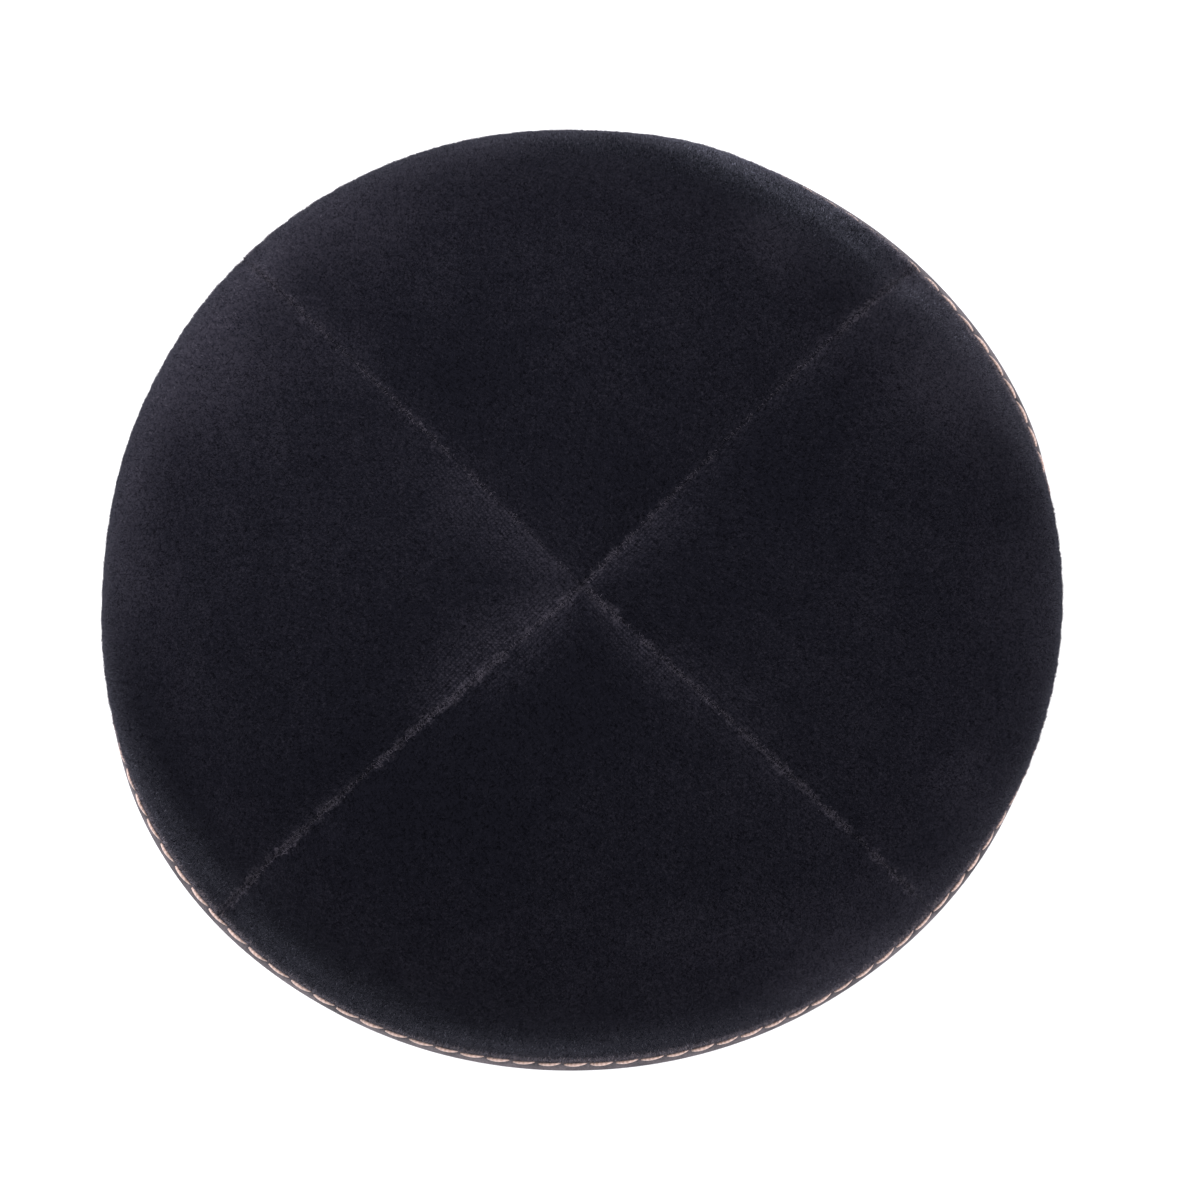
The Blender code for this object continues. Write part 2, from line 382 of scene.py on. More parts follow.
AXIS = axis_of_crown()
FOOT = Vector((*AXIS, 0))
HALF_WIDTH = (CAD_BOX[1][0] - CAD_BOX[0][0]) / 2
TOP = CAD_BOX[1][2]


def values_of(items, name, kind=float, width=3):
    """A row of width values for each of a mesh's items."""
    values = np.empty(len(items) * width, kind)
    items.foreach_get(name, values)
    return values.reshape(-1, width)


def points_of(mesh):
    return values_of(mesh.vertices, "co")


def normals_of(mesh):
    return values_of(mesh.vertex_normals, "vector")


def move_points(mesh, points):
    mesh.vertices.foreach_set("co", points.ravel())
    mesh.update()


def polar(points):
    """Radius and azimuth about the crown's axis."""
    x, y = points[:, 0] - AXIS[0], points[:, 1] - AXIS[1]
    return np.hypot(x, y), np.arctan2(y, x)


def wrapped(angle):
    return (angle + np.pi) % (2 * np.pi) - np.pi


def smooth_step(value, low, high):
    share = np.clip((value - low) / (high - low), 0, 1)
    return share * share * (3 - 2 * share)


def plateau(value, rise, fall):
    """1 between rise and fall, the two stretches over which it comes and goes, and 0 beyond them."""
    return smooth_step(value, *rise) * (1 - smooth_step(value, *fall))


def span_of(panel):
    """The azimuths of a panel's clockwise and anticlockwise edges."""
    radius, azimuth = polar(points_of(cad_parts[panel].data))
    outer = azimuth[radius > HALF_WIDTH / 2]
    middle = math.atan2(np.sin(outer).mean(), np.cos(outer).mean())
    off = wrapped(outer - middle)
    return middle + off.min(), middle + off.max()


def seam_azimuths():
    """Each seam lies midway between the edges of the two panels that it joins."""
    spans = [span_of(panel) for panel in PANELS]
    lines = {}
    for i, seam in enumerate(SEAMS):
        end, start = spans[i][1], spans[(i + 1) % len(PANELS)][0]
        lines[seam] = end + wrapped(start - end) / 2
    return lines


SEAM_LINES = seam_azimuths()


def seams_of(panel):
    """The azimuths of the two seams of a panel, clockwise one first."""
    i = PANELS.index(panel)
    return SEAM_LINES[SEAMS[i - 1]], SEAM_LINES[SEAMS[i]]


def unit(vectors):
    return vectors / np.linalg.norm(vectors, axis=1)[:, None]


def outwards(points):
    """The direction out of the cap at each point, from a dome of its width and height."""
    x, y, z = (points - (*AXIS, 0)).T
    return unit(np.column_stack((x / HALF_WIDTH**2, y / HALF_WIDTH**2, np.maximum(z, 0) / TOP**2)))


def facing_out(points, normals):
    """How far each normal faces out of the cap, from -1 to 1."""
    return (normals * outwards(points)).sum(1)


def from_axis(points):
    """The level direction from the crown's axis to each point."""
    _, azimuth = polar(points)
    return np.column_stack((np.cos(azimuth), np.sin(azimuth), np.zeros(len(points))))


def seam_offsets(points, panel):
    """Distances from a panel's two seam planes, above 0 on the panel's side."""
    radius, azimuth = polar(points)
    first, last = seams_of(panel)
    return radius * np.sin(azimuth - first), radius * np.sin(last - azimuth)


def cloth_noise(points, size, seed):
    """Smooth noise between about -1 and 1 whose lumps are size across."""
    shift = Vector((seed * 7.3, seed * 3.1, seed * 5.7))
    return np.array([noise.noise(Vector(p) / size + shift) for p in points])


def finished_mesh(bm, name):
    """A new mesh of what was modelled in bm."""
    mesh = bpy.data.meshes.new(name)
    bm.to_mesh(mesh)
    bm.free()
    return mesh


def add_object(name, data):
    """A new object in the scene."""
    item = bpy.data.objects.new(name, data)
    bpy.context.scene.collection.objects.link(item)
    return item


def copy_of_node(node):
    """A CAD piece's mesh with its corners merged and its triangles paired back into four-sided faces."""
    bm = bmesh.new()
    bm.from_mesh(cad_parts[node].data)
    bmesh.ops.remove_doubles(bm, verts=bm.verts[:], dist=MERGE_DISTANCE)
    bmesh.ops.join_triangles(
        bm, faces=bm.faces[:], angle_face_threshold=PAIRING_ANGLE, angle_shape_threshold=PAIRING_ANGLE
    )
    bmesh.ops.recalc_face_normals(bm, faces=bm.faces[:])
    return bm


def seam_frame(azimuth):
    """The level directions along a seam and across it."""
    along = Vector((math.cos(azimuth), math.sin(azimuth), 0))
    return along, Vector((-along.y, along.x, 0))


def close_seam(bm, azimuth):
    """Moves the side wall of a panel up to the seam's plane, so that no light shows between panels."""
    along, across = seam_frame(azimuth)
    for vertex in bm.verts:
        place = vertex.co - FOOT
        offset = place.dot(across)
        if abs(offset) < SEAM_REACH and place.dot(along) > -SEAM_REACH:
            vertex.co += across * (math.copysign(SEAM_SLIT / 2, offset) - offset)


def sharpen_seams(bm, panel):
    """Creases the corners of the side walls, so that subdivision rounds them only a little."""
    creases = bm.edges.layers.float.new("crease_edge")
    tips = bm.verts.layers.float.new("crease_vert")
    for azimuth in seams_of(panel):
        _, across = seam_frame(azimuth)
        for edge in bm.edges:
            at_seam = all(abs((v.co - FOOT).dot(across)) < SEAM_REACH for v in edge.verts)
            if at_seam and edge.is_manifold and edge.calc_face_angle() > SHARP_EDGE:
                edge[creases] = SEAM_CREASE
    for vertex in bm.verts:
        if (vertex.co - FOOT).xy.length < SEAM_REACH:
            vertex[tips] = 1.0


def subdivided(bm, name):
    """A new mesh of the cage after smooth subdivision."""
    cage = finished_mesh(bm, name + "_cage")
    holder = add_object(name + "_cage", cage)
    finer = holder.modifiers.new("Subdivision", "SUBSURF")
    finer.levels = SUBDIVISIONS
    finer.render_levels = SUBDIVISIONS
    shape = holder.evaluated_get(bpy.context.evaluated_depsgraph_get())
    mesh = bpy.data.meshes.new_from_object(shape)
    bpy.data.objects.remove(holder)
    bpy.data.meshes.remove(cage)
    mesh.name = name
    return mesh


def refine_outside(mesh):
    """Halves the faces that face out of the cap, where folds and puckers show."""
    bm = bmesh.new()
    bm.from_mesh(mesh)
    centres = np.array([face.calc_center_median() for face in bm.faces])
    normals = np.array([face.normal for face in bm.faces])
    outer = facing_out(centres, normals) > 0.2
    edges = {edge for face, seen in zip(bm.faces, outer) if seen for edge in face.edges}
    ordered = sorted(edges, key=lambda edge: edge.index)
    bmesh.ops.subdivide_edges(bm, edges=ordered, cuts=1, use_grid_fill=True)
    bm.to_mesh(mesh)
    bm.free()


def add_values(mesh, name, values):
    layer = mesh.attributes.new(name, "FLOAT", "POINT")
    layer.data.foreach_set("value", np.asarray(values, np.float32))


def opened_pile(points):
    """0 to 1 where the pile stands open beside the seams."""
    radius, azimuth = polar(points)
    total = np.zeros(len(points))
    for seam, side, start, end, width, strength in OPENED_PILE:
        line = SEAM_LINES[seam]
        off = side * radius * np.sin(azimuth - line) / MM
        along = radius * np.cos(azimuth - line) / MM
        fade = plateau(along, (start - 6, start + 4), (end - 12, end + 6))
        spread = width * (0.4 + 0.6 * smooth_step(along, 0, 20))
        across = np.exp(-((off / spread) ** 2)) * smooth_step(off, -0.6, 0.2)
        total = np.maximum(total, strength * fade * across)
    return total


def seam_line(seam):
    """A function of the radius: how worn a seam is there. Its pale line comes and goes along it."""
    stations = np.linspace(0, HALF_WIDTH, 300)
    along = np.column_stack((stations, 0 * stations, 0 * stations))
    patchy = np.clip(1 + 1.7 * cloth_noise(along, 3 * MM, 10 + SEAMS.index(seam)), 0.2, 2)
    wear = np.interp(stations / MM, SEAM_STATIONS, SEAM_WEAR[seam]) * patchy
    return lambda radius: np.interp(radius, stations, wear)


def seam_wear(points, panel):
    """How worn the nearer seam of a panel is at each point."""
    i = PANELS.index(panel)
    radius, _ = polar(points)
    off_first, off_last = seam_offsets(points, panel)
    return np.where(off_first < off_last, seam_line(SEAMS[i - 1])(radius), seam_line(SEAMS[i])(radius))


# The pile's broad tone at each point: partly the brushed nap, partly painted sheen and painted shade, with
# the rim's painted sheen and shade added in its band.
def nap_and_painted_sheen(points):
    radius, azimuth = polar(points)
    tone = np.zeros(len(points))
    for patch_azimuth, patch_radius, width, strength in NAP_AND_SHEEN_PATCHES:
        line = math.radians(patch_azimuth)
        x = radius * np.cos(azimuth) - patch_radius * HALF_WIDTH * math.cos(line)
        y = radius * np.sin(azimuth) - patch_radius * HALF_WIDTH * math.sin(line)
        tone += strength * np.exp(-(x**2 + y**2) / (width * HALF_WIDTH) ** 2)
    centre, width = RIM_SHEEN_BAND
    _, rim_sheen_and_shade, _ = rim_finish(points)
    return tone + rim_sheen_and_shade * np.exp(-(((radius / HALF_WIDTH - centre) / width) ** 2))


def pressed_pile_and_highlight(points):
    """1 where the topstitching presses the pile flat, fading upwards. The pale band is partly a painted
    highlight along the outline.
    """
    wear, _, _ = rim_finish(points)
    return wear * np.exp(-np.maximum(points[:, 2] - PRESSED_FROM, 0) / PRESSED_FADE)


def rim_finish(points):
    """The rim's wear, partly a painted highlight, its painted sheen and shade, and its swell at each point.
    """
    _, azimuth = polar(points)
    turns, *columns = zip(*RIM_FINISH)
    turn = np.degrees(azimuth) % 360
    wear, tone, swell = (np.interp(turn, turns, column, period=360) for column in columns)
    return wear, tone, swell * MM


def flat_layout(points, panel):
    """Places on the flat gore that a panel was cut as, in metres from its tip. The weave runs on the bias:
    one way of it lies along the seam.
    """
    radius, azimuth = polar(points)
    first, last = seams_of(panel)
    middle = first + (last - first) % (2 * math.pi) / 2
    slant = np.arctan2(np.maximum(points[:, 2], 0) / TOP, radius / HALF_WIDTH)
    angles = np.linspace(math.pi / 2, 0, 200)
    steps = np.hypot(np.diff(HALF_WIDTH * np.cos(angles)), np.diff(TOP * np.sin(angles)))
    lengths = np.concatenate(((0,), np.cumsum(steps)))
    length = np.interp(-slant, -angles, lengths) + 1e-9
    turn = wrapped(azimuth - middle) * radius / length + math.pi / 4
    return length * np.sin(turn), length * np.cos(turn)


def add_cloth_map(mesh, across, along):
    """A UV map in metres of cloth, for patterns that follow the weave."""
    layer = mesh.uv_layers.new(name="cloth")
    corners = values_of(mesh.loops, "vertex_index", int, 1).ravel()
    layer.data.foreach_set("uv", np.column_stack((across, along))[corners].ravel())


def needle_holes(azimuth, pitch):
    """1 at each needle hole of the topstitching and 0 halfway between two."""
    stitches = stitch_count(pitch)
    return (0.5 + 0.5 * np.cos(azimuth * stitches)) ** 3


def stitch_count(pitch):
    """How many stitches go round the rim."""
    low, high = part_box(BINDING)
    girth = math.pi * ((high.x - low.x) + (high.y - low.y)) / 2
    return round(girth / pitch)


def uneven_cloth(points, normals, panel, cloth, pitch):
    """How far each point of a panel stands out of its smooth form."""
    radius, azimuth = polar(points)
    height = points[:, 2]
    off_first, off_last = seam_offsets(points, panel)
    seam = np.minimum(off_first, off_last)
    free = smooth_step(height, FREE_HEIGHT, WHOLLY_FREE)
    soft = cloth_noise(points, BROAD_LUMPS, 1) + 0.5 * cloth_noise(points, SMALL_LUMPS, 2)
    near_seam = np.exp(-((seam / PUCKER_REACH) ** 2)) * (1 - np.exp(-((seam / PUCKER_START) ** 2)))
    # Noise that changes fast along the seam and slowly across it.
    drawn_out = np.column_stack((radius, off_first * 0.15, off_last * 0.15))
    ripple = cloth_noise(drawn_out, PUCKER_SPACING, 3)
    out = free * (cloth.undulation * soft + cloth.seam_pucker * near_seam * ripple * 2)
    outside = facing_out(points, normals) > 0.3
    pulled = cloth.rim_pucker * (needle_holes(azimuth, pitch) - 0.4)
    _, _, swell = rim_finish(points)
    full = plateau(height, *SWOLLEN_HEIGHTS) * swell
    return out + outside * (full - plateau(height, *DIMPLED_HEIGHTS) * pulled)


def link_piece(name, mesh, materials, replaced=None):
    """Adds a finished mesh as a piece that rides on the cap."""
    for material in materials:
        mesh.materials.append(material)
    mesh.shade_smooth()
    piece = add_object(name, mesh)
    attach(piece, "root")
    if replaced:
        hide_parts(replaced)


def add_node(tree, kind, inputs=None, **settings):
    """Adds a shader node. inputs are socket values or (node, output) links; settings are its own values."""
    node = tree.nodes.new("ShaderNode" + kind)
    for name, value in settings.items():
        setattr(node, name, value)
    for socket, value in (inputs or {}).items():
        if isinstance(value, tuple) and isinstance(value[0], bpy.types.Node):
            tree.links.new(value[0].outputs[value[1]], node.inputs[socket])
        else:
            node.inputs[socket].default_value = value
    return node


def new_material(name):
    """A new material and its node tree, emptied."""
    material = bpy.data.materials.new(name)
    material.use_nodes = True
    material.node_tree.nodes.clear()
    return material, material.node_tree


def wave_scale(spacing):
    """The scale of a wave texture whose bands lie this far apart. At 1 its phase grows 20 radians a metre."""
    return 2 * math.pi / 20 / spacing


def colour4(colour):
    return (*colour, 1.0)


def showing(material, shader):
    """The material, with its shader linked to its output."""
    add_node(material.node_tree, "OutputMaterial", {"Surface": (shader, "BSDF")})
    return material


def velvet(cloth):
    """Black cotton velvet: a short pile cut on a woven ground and brushed. Its tufts give a fine wormy grain,
    it pales to a soft grey towards its outline through its sheen and through painted sheen and a painted
    highlight in its colour, and it shows its rows where the pile is opened.
    """
    material, tree = new_material("black cotton velvet")
    place = add_node(tree, "TexCoord")
    # The brushed and pressed tones carry painted sheen, painted shade and a painted highlight besides the nap
    # and the pressing.
    seam, opened, brushed, pressed, wear = (
        add_node(tree, "Attribute", attribute_name=name)
        for name in ("seam_mm", "opened", "brushed", "pressed", "wear")
    )
    tufts = add_node(tree, "TexNoise", {
        "Vector": (place, "Object"), "Scale": 1 / (cloth.tuft_size * MM), "Detail": 2.0,
        "Roughness": 0.55, "Distortion": 1.2,
    })
    mottle = add_node(tree, "TexNoise", {
        "Vector": (place, "Object"), "Scale": 1 / MOTTLE_SIZE, "Detail": 3.0, "Roughness": 0.6,
    })
    # The tufts stand in rows both ways. They show as a broken grid where the pile is open.
    rows = [
        add_node(tree, "TexWave", {
            "Vector": (place, "UV"), "Scale": wave_scale(cloth.rib_pitch * MM), "Distortion": 5.0,
            "Detail": 3.0, "Detail Scale": 2.0,
        }, bands_direction=direction)
        for direction in ("X", "Y")
    ]
    grid = add_node(tree, "Math", {0: (rows[0], "Fac"), 1: (rows[1], "Fac")}, operation="MULTIPLY")
    # The crushed line along a seam is broken: noise moves its edge in and out.
    break_up = add_node(tree, "TexNoise", {
        "Vector": (place, "Object"), "Scale": 1 / SEAM_BREAKS, "Detail": 4.0, "Roughness": 0.7,
    })
    ragged = add_node(tree, "Math", {0: (break_up, "Fac"), 1: 4.0, 2: -1.35}, operation="MULTIPLY_ADD")
    edge = add_node(tree, "Math", {0: (ragged, 0), 1: 0.05}, operation="MAXIMUM")
    from_line = add_node(tree, "Math", {0: (seam, "Fac"), 1: (edge, 0)}, operation="DIVIDE")
    crushed = add_node(tree, "MapRange", {
        "Value": (from_line, 0), "From Max": 1.6, "To Min": 0.5, "To Max": 0.0,
    }, interpolation_type="SMOOTHSTEP")
    rows_open = add_node(tree, "Math", {0: (grid, 0), 1: 0.9, 2: 0.32}, operation="MULTIPLY_ADD")
    halo = add_node(tree, "Math", {0: (opened, "Fac"), 1: (rows_open, 0)}, operation="MULTIPLY")
    grain = add_node(tree, "MapRange", {
        "Value": (tufts, "Fac"), "From Min": 0.3, "From Max": 0.72, "To Min": -0.17, "To Max": 0.33,
    })
    cloudy = add_node(tree, "MapRange", {
        "Value": (mottle, "Fac"), "From Min": 0.3, "From Max": 0.7, "To Min": -0.05, "To Max": 0.06,
    })
    tone = add_node(tree, "Math", {0: (grain, 0), 1: (cloudy, 0)}, operation="ADD")
    # The brushed tone adds painted sheen and painted shade to the grain and the mottle.
    brush = add_node(tree, "Math", {0: (brushed, "Fac"), 1: 0.25, 2: (tone, 0)}, operation="MULTIPLY_ADD")
    amount = add_node(tree, "Math", {0: (halo, 0), 1: (brush, 0)}, operation="ADD", use_clamp=True)
    standing = add_node(tree, "Mix", {
        "Factor": (amount, 0), MIX_A: colour4(cloth.pile_colour), MIX_B: colour4(cloth.opened_colour),
    }, data_type="RGBA")
    streaky = add_node(tree, "Math", {0: (tufts, "Fac"), 1: 1.6, 2: -0.1}, operation="MULTIPLY_ADD")
    worn = add_node(tree, "Math", {0: (crushed, "Result"), 1: (wear, "Fac")}, operation="MULTIPLY")
    broken = add_node(tree, "Math", {0: (worn, 0), 1: (streaky, 0)}, operation="MULTIPLY", use_clamp=True)
    seamed = add_node(tree, "Mix", {
        "Factor": (broken, 0), MIX_A: (standing, MIX_OUT), MIX_B: colour4(cloth.crushed_colour),
    }, data_type="RGBA")
    # Above the stitches the pile is pressed flat and fades into the standing pile. Its pale band is partly a
    # painted highlight along the outline.
    flattened = {0: (pressed, "Fac"), 1: (streaky, 0)}
    flat = add_node(tree, "Math", flattened, operation="MULTIPLY", use_clamp=True)
    colour = add_node(tree, "Mix", {
        "Factor": (flat, 0), MIX_A: (seamed, MIX_OUT), MIX_B: colour4(cloth.edging_and_sheen_colour),
    }, data_type="RGBA")
    relief = add_node(tree, "Math", {0: (halo, 0), 1: 0.6, 2: (tufts, "Fac")}, operation="MULTIPLY_ADD")
    bump = add_node(tree, "Bump", {"Strength": 0.6, "Distance": 0.15 * MM, "Height": (relief, 0)})
    surface = add_node(tree, "BsdfPrincipled", {
        "Base Color": (colour, MIX_OUT), "Roughness": 0.9, "Specular IOR Level": 0.0,
        "Sheen Weight": PILE_SHEEN, "Sheen Roughness": PILE_SHEEN_ROUGHNESS,
        "Sheen Tint": colour4(linear(PILE_SHEEN_TINT)), "Normal": (bump, "Normal"),
    })
    return showing(material, surface)


def woven_reverse(cloth):
    """The plain-woven cotton ground of the velvet, seen inside the cap: dull, with a thread at each step."""
    material, tree = new_material("woven cotton reverse")
    place = add_node(tree, "TexCoord")
    threads = [
        add_node(tree, "TexWave", {
            "Vector": (place, "UV"), "Scale": wave_scale(GROUND_PITCH), "Distortion": 0.6, "Detail": 1.0,
        }, bands_direction=direction)
        for direction in ("X", "Y")
    ]
    weave = add_node(tree, "Math", {0: (threads[0], "Fac"), 1: (threads[1], "Fac")}, operation="MULTIPLY")
    colour = add_node(tree, "Mix", {
        "Factor": (weave, 0), MIX_A: colour4(linear("#0F0E12")), MIX_B: colour4(cloth.reverse_colour),
    }, data_type="RGBA")
    bump = add_node(tree, "Bump", {"Strength": 0.5, "Distance": 0.1 * MM, "Height": (weave, 0)})
    surface = add_node(tree, "BsdfPrincipled", {
        "Base Color": (colour, MIX_OUT), "Roughness": 0.9, "Specular IOR Level": 0.2, "Sheen Weight": 0.1,
        "Normal": (bump, "Normal"),
    })
    return showing(material, surface)


def pressed_edging(cloth):
    """Velvet strip folded over the rim and pressed under the needle: its pile lies flat, so it is greyer than
    the panels and a little worn on the fold. Part of its pale grey is painted sheen, for the light that the
    strip catches where it is seen edge-on.
    """
    material, tree = new_material("pressed velvet edging")
    place = add_node(tree, "TexCoord")
    fibres = add_node(tree, "TexNoise", {
        "Vector": (place, "Object"), "Scale": 1 / EDGING_FIBRE, "Detail": 3.0, "Distortion": 0.8,
    })
    worn = add_node(tree, "TexNoise", {"Vector": (place, "Object"), "Scale": 1 / EDGING_WEAR})
    tone = add_node(tree, "Math", {0: (fibres, "Fac"), 1: (worn, "Fac")}, operation="MULTIPLY")
    spread = add_node(tree, "MapRange", {"Value": (tone, 0), "From Min": 0.12, "From Max": 0.4})
    colour = add_node(tree, "Mix", {
        "Factor": (spread, 0), MIX_A: colour4(linear("#262428")), MIX_B: colour4(cloth.edging_and_sheen_colour),
    }, data_type="RGBA")
    bump = add_node(tree, "Bump", {"Strength": 0.5, "Distance": 0.12 * MM, "Height": (fibres, "Fac")})
    surface = add_node(tree, "BsdfPrincipled", {
        "Base Color": (colour, MIX_OUT), "Roughness": 0.85, "Specular IOR Level": 0.2,
        "Sheen Weight": 0.15, "Sheen Roughness": 0.4, "Sheen Tint": colour4(linear("#D8D0D8")),
        "Normal": (bump, "Normal"),
    })
    return showing(material, surface)


def spun_thread(stitch):
    """Copper polyester topstitching thread, two plies twisted: satin, with a fine slanting ply line."""
    material, tree = new_material("spun polyester thread")
    place = add_node(tree, "TexCoord")
    plies = add_node(tree, "TexWave", {
        "Vector": (place, "UV"), "Scale": wave_scale(PLY_PITCH), "Distortion": 0.5,
    }, bands_direction="DIAGONAL")
    lint = add_node(tree, "TexNoise", {"Vector": (place, "Object"), "Scale": 1 / LINT_SIZE})
    tone = add_node(tree, "Math", {0: (plies, "Fac"), 1: 0.5, 2: (lint, "Fac")}, operation="MULTIPLY_ADD")
    shade = add_node(tree, "MapRange", {"Value": (tone, 0), "From Min": 0.35, "From Max": 1.0})
    colour = add_node(tree, "Mix", {
        "Factor": (shade, 0), MIX_A: colour4(linear("#9B7F73")), MIX_B: colour4(stitch.thread_colour),
    }, data_type="RGBA")
    bump = add_node(tree, "Bump", {"Strength": 0.5, "Distance": 0.08 * MM, "Height": (plies, "Fac")})
    surface = add_node(tree, "BsdfPrincipled", {
        "Base Color": (colour, MIX_OUT), "Roughness": 0.5, "Sheen Weight": 0.2,
        "Normal": (bump, "Normal"),
    })
    return showing(material, surface)


def fibre_material(name, colour):
    """Cut cotton fibres of the pile, one even shade each, matt with a pale edge."""
    material, tree = new_material(name)
    surface = add_node(tree, "BsdfPrincipled", {
        "Base Color": colour4(colour), "Roughness": 0.85, "Specular IOR Level": 0.0,
        "Sheen Weight": PILE_SHEEN, "Sheen Roughness": PILE_SHEEN_ROUGHNESS,
        "Sheen Tint": colour4(linear(PILE_SHEEN_TINT)),
    })
    return showing(material, surface)


def dress_panel(panel, cloth, pitch, materials):
    """One velvet gore: a smooth sheet with soft unevenness, puckered seams and dimples at the stitches."""
    bm = copy_of_node(panel)
    for azimuth in seams_of(panel):
        close_seam(bm, azimuth)
    sharpen_seams(bm, panel)
    name = "velvet_" + panel
    mesh = subdivided(bm, name)
    refine_outside(mesh)
    points = points_of(mesh)
    lift = uneven_cloth(points, normals_of(mesh), panel, cloth, pitch)
    points += outwards(points) * lift[:, None]
    move_points(mesh, points)
    add_values(mesh, "seam_mm", np.maximum(np.minimum(*seam_offsets(points, panel)), 0) / MM)
    add_values(mesh, "opened", opened_pile(points))
    # The brushed and pressed tones hold painted sheen, painted shade and a painted highlight besides the nap
    # and the pressing.
    add_values(mesh, "brushed", nap_and_painted_sheen(points))
    add_values(mesh, "pressed", pressed_pile_and_highlight(points))
    add_values(mesh, "wear", seam_wear(points, panel))
    add_cloth_map(mesh, *flat_layout(points, panel))
    link_piece(name, mesh, materials, panel)
    centres, normals = (values_of(mesh.polygons, name) for name in ("center", "normal"))
    inside = facing_out(centres, normals) < -0.3
    mesh.polygons.foreach_set("material_index", inside.astype(int))


class SKULLCAP_OT_panels(bpy.types.Operator):
    """Make the four velvet panels"""

    bl_idname = "skullcap.panels"
    bl_label = "Velvet Panels"

    def execute(self, context):
        cloth = context.scene.skullcap_cloth
        pitch = context.scene.skullcap_stitch.pitch
        materials = (velvet(cloth), woven_reverse(cloth))
        for panel in PANELS:
            dress_panel(panel, cloth, pitch, materials)
        return {"FINISHED"}


def swell_edging(mesh):
    """The folded strip is plump: its outer side stands proud of its solid, most of all at its foot."""
    points = points_of(mesh)
    out = from_axis(points)
    facing = (normals_of(mesh) * out).sum(1)
    low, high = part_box(BINDING)
    share = (points[:, 2] - low.z) / (high.z - low.z)
    swell = EDGING_SWELL * smooth_step(facing, -0.2, 0.5) * (1 - 0.5 * share)
    move_points(mesh, points + out * swell[:, None])


class SKULLCAP_OT_edging(bpy.types.Operator):
    """Make the folded strip that binds the rim"""

    bl_idname = "skullcap.edging"
    bl_label = "Rim Binding"

    def execute(self, context):
        cloth = context.scene.skullcap_cloth
        bm = copy_of_node(BINDING)
        mesh = subdivided(bm, "velvet_edging")
        swell_edging(mesh)
        link_piece("velvet_edging", mesh, (pressed_edging(cloth),), BINDING)
        return {"FINISHED"}


def rim_line():
    """Radius of the binding's outer face at its top edge, as a function of azimuth."""
    points = points_of(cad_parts[BINDING].data)
    radius, azimuth = polar(points)
    near_top = np.abs(points[:, 2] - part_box("panel_front")[0].z - OUTER_LEG) < LEG_BAND
    order = {}
    for turn, reach in zip(azimuth[near_top], radius[near_top]):
        key = round(turn, 3)
        order[key] = max(order.get(key, 0), reach)
    turns = np.array(sorted(order))
    reaches = np.array([order[turn] for turn in turns])
    return lambda angle: np.interp(wrapped(angle), turns, reaches, period=2 * math.pi)


def stitch_blank(sides, segments):
    """A straight tube along X from -1 to 1, of unit radius, made by extruding a ring."""
    bm = bmesh.new()
    ring = bmesh.ops.create_circle(bm, segments=sides, radius=1, cap_ends=True)["verts"]
    turn = Matrix.Rotation(math.pi / 2, 3, "Y")
    bmesh.ops.rotate(bm, verts=ring, matrix=turn)
    bmesh.ops.translate(bm, verts=ring, vec=(-1, 0, 0))
    face = bm.faces[:][0]
    for _ in range(segments):
        made = bmesh.ops.extrude_face_region(bm, geom=[face])["geom"]
        bmesh.ops.delete(bm, geom=[face], context="FACES_ONLY")
        face = next(item for item in made if isinstance(item, bmesh.types.BMFace))
        bmesh.ops.translate(bm, verts=face.verts, vec=(2 / segments, 0, 0))
    bmesh.ops.holes_fill(bm, edges=[edge for edge in bm.edges if edge.is_boundary])
    bmesh.ops.recalc_face_normals(bm, faces=bm.faces[:])
    return finished_mesh(bm, "stitch_blank")


class SKULLCAP_OT_topstitch(bpy.types.Operator):
    """Sew the copper topstitches round the rim"""

    bl_idname = "skullcap.topstitch"
    bl_label = "Topstitches"

    def execute(self, context):
        stitch = context.scene.skullcap_stitch
        count = stitch_count(stitch.pitch)
        rim = rim_line()
        blank = stitch_blank(sides=6, segments=8)
        along, side, up = points_of(blank).T
        rng = np.random.default_rng(seed=4)
        fills, varies = STITCH_FILLS
        bm = bmesh.new()
        for i in range(count):
            start = len(bm.verts)
            bm.from_mesh(blank)
            bm.verts.ensure_lookup_table()
            filled = fills + varies * rng.uniform(-1, 1)
            heft = rng.uniform(0.85, 1.15)
            slant = STITCH_SLANT * rng.uniform(0.5, 1.5)
            angle = (i + 0.5 + along * filled / 2) / count * 2 * math.pi
            taper = 1 - 0.5 * np.abs(along) ** 3 - 0.35 * np.maximum(along, 0)
            thick = heft * stitch.thread_width / 2 * np.maximum(taper, 0.12)
            bow = 1 - along**2
            radius = rim(angle) - STITCH_INSET + stitch.bulge * bow + side * thick - slant * along
            rise = STITCH_HEIGHT + STITCH_RISE * bow + up * thick
            x, y = AXIS[0] + radius * np.cos(angle), AXIS[1] + radius * np.sin(angle)
            for vertex, place in zip(bm.verts[start:], np.column_stack((x, y, rise))):
                vertex.co = place
        # Laid along the rim, the blank is mirrored, so its faces are turned outwards again.
        bmesh.ops.reverse_faces(bm, faces=bm.faces[:])
        mesh = finished_mesh(bm, "topstitches")
        bpy.data.meshes.remove(blank)
        points = points_of(mesh)
        _, azimuth = polar(points)
        add_cloth_map(mesh, azimuth * HALF_WIDTH, points[:, 2])
        link_piece("topstitches", mesh, (spun_thread(stitch),))
        return {"FINISHED"}


